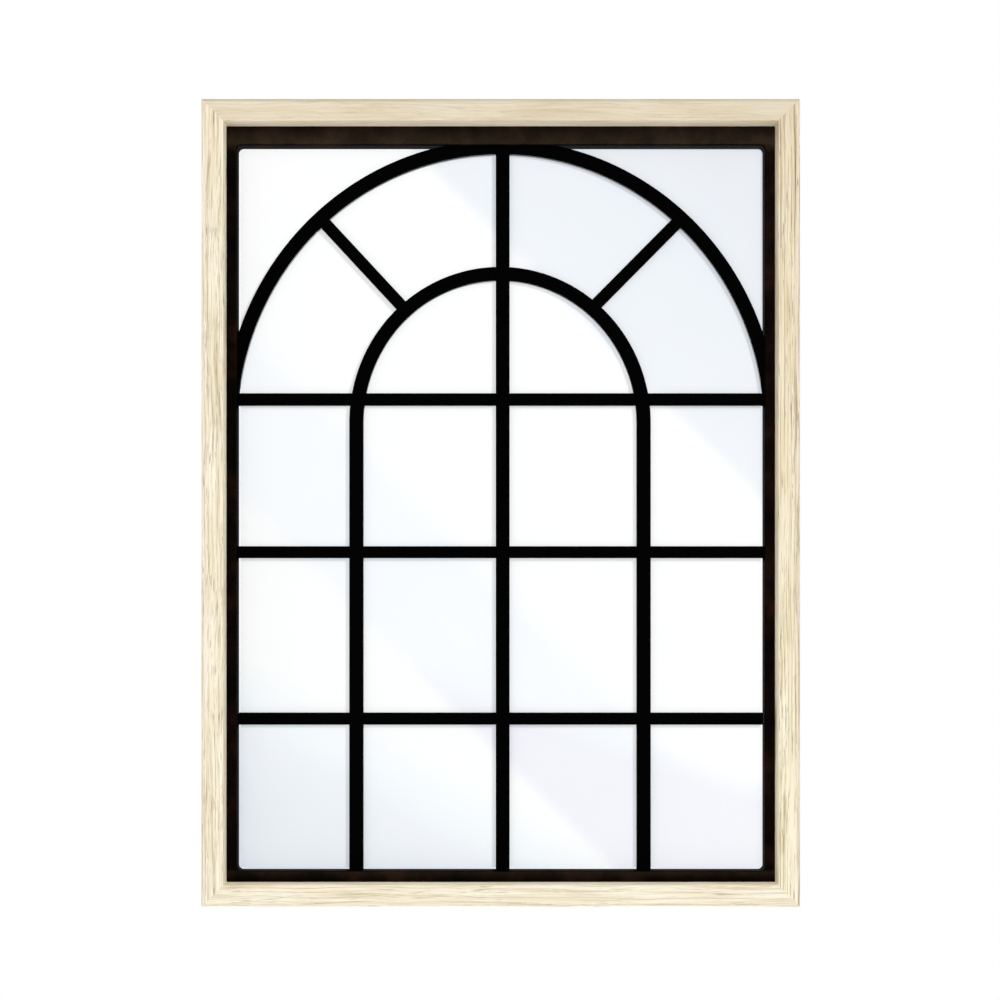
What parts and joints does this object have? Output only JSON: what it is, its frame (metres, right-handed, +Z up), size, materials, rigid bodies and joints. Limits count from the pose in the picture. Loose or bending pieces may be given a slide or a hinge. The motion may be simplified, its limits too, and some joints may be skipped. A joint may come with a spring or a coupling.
{
  "type": "arched window mirror",
  "caption": "Wall mirror in a pale mitred wooden frame with a dark liner and a black window grille whose bars form two arches and spokes.",
  "frame": {"origin": "middle of the wooden frame's bottom edge, halfway through the frame's depth", "axes": "+X to the right seen from the front, +Y from the mirror face to the wall, +Z up; the glass faces -Y"},
  "size_m": [0.6, 0.0402, 0.81],
  "materials": {
    "pale_wood": "pale pine with a thin matt clear coat, open straight grain",
    "dark_liner": "fibreboard stained espresso brown, satin",
    "black_paint": "fibreboard strips sprayed matt black",
    "mirror_plate": "clear float glass silvered on its back",
    "hardboard": "brown pressed hardboard, smooth side out",
    "zinc_plate": "zinc-plated steel",
    "grey_rubber": "soft grey rubber"
  },
  "bodies": {
    "mirror_body": {"bottom_rail": "pale_wood", "top_rail": "pale_wood", "left_stile": "pale_wood", "right_stile": "pale_wood", "liner_frame": "dark_liner", "mirror_glass": "mirror_plate", "back_board": "hardboard", "left_mullion": "black_paint", "centre_mullion": "black_paint", "right_mullion": "black_paint", "lower_crossbar": "black_paint", "middle_crossbar": "black_paint", "upper_crossbar": "black_paint", "inner_arch": "black_paint", "outer_arch": "black_paint", "left_spoke": "black_paint", "right_spoke": "black_paint", "button_screw_left_upper": "zinc_plate", "button_screw_left_lower": "zinc_plate", "button_screw_right_upper": "zinc_plate", "button_screw_right_lower": "zinc_plate", "button_screw_top_left": "zinc_plate", "button_screw_top_right": "zinc_plate", "button_screw_bottom_left": "zinc_plate", "button_screw_bottom_right": "zinc_plate", "hanger_strap_left": "zinc_plate", "strap_screw_left_upper": "zinc_plate", "strap_screw_left_lower": "zinc_plate", "bumper_left": "grey_rubber", "hanger_strap_right": "zinc_plate", "strap_screw_right_upper": "zinc_plate", "strap_screw_right_lower": "zinc_plate", "bumper_right": "grey_rubber"},
    "button_left_upper": {"turn_button_left_upper": "zinc_plate"},
    "button_left_lower": {"turn_button_left_lower": "zinc_plate"},
    "button_right_upper": {"turn_button_right_upper": "zinc_plate"},
    "button_right_lower": {"turn_button_right_lower": "zinc_plate"},
    "button_top_left": {"turn_button_top_left": "zinc_plate"},
    "button_top_right": {"turn_button_top_right": "zinc_plate"},
    "button_bottom_left": {"turn_button_bottom_left": "zinc_plate"},
    "button_bottom_right": {"turn_button_bottom_right": "zinc_plate"},
    "ring_left": {"d_ring_left": "zinc_plate"},
    "ring_right": {"d_ring_right": "zinc_plate"}
  },
  "joints": [
    {"name": "button_left_upper_turn", "type": "hinge", "parent": "mirror_body", "child": "button_left_upper", "pos_m": [-0.293, 0.0178, 0.645], "axis": [0, 1, 0], "range_deg": [-90, 90]},
    {"name": "button_left_lower_turn", "type": "hinge", "parent": "mirror_body", "child": "button_left_lower", "pos_m": [-0.293, 0.0178, 0.165], "axis": [0, 1, 0], "range_deg": [-90, 90]},
    {"name": "button_right_upper_turn", "type": "hinge", "parent": "mirror_body", "child": "button_right_upper", "pos_m": [0.293, 0.0178, 0.645], "axis": [0, 1, 0], "range_deg": [-90, 90]},
    {"name": "button_right_lower_turn", "type": "hinge", "parent": "mirror_body", "child": "button_right_lower", "pos_m": [0.293, 0.0178, 0.165], "axis": [0, 1, 0], "range_deg": [-90, 90]},
    {"name": "button_top_left_turn", "type": "hinge", "parent": "mirror_body", "child": "button_top_left", "pos_m": [-0.15, 0.0178, 0.803], "axis": [0, 1, 0], "range_deg": [-90, 90]},
    {"name": "button_top_right_turn", "type": "hinge", "parent": "mirror_body", "child": "button_top_right", "pos_m": [0.15, 0.0178, 0.803], "axis": [0, 1, 0], "range_deg": [-90, 90]},
    {"name": "button_bottom_left_turn", "type": "hinge", "parent": "mirror_body", "child": "button_bottom_left", "pos_m": [-0.15, 0.0178, 0.007], "axis": [0, 1, 0], "range_deg": [-90, 90]},
    {"name": "button_bottom_right_turn", "type": "hinge", "parent": "mirror_body", "child": "button_bottom_right", "pos_m": [0.15, 0.0178, 0.007], "axis": [0, 1, 0], "range_deg": [-90, 90]},
    {"name": "ring_left_swing", "type": "hinge", "parent": "mirror_body", "child": "ring_left", "pos_m": [-0.2915, 0.02, 0.58], "axis": [1, 0, 0], "range_deg": [0, 180]},
    {"name": "ring_right_swing", "type": "hinge", "parent": "mirror_body", "child": "ring_right", "pos_m": [0.2915, 0.02, 0.58], "axis": [1, 0, 0], "range_deg": [0, 180]}
  ]
}
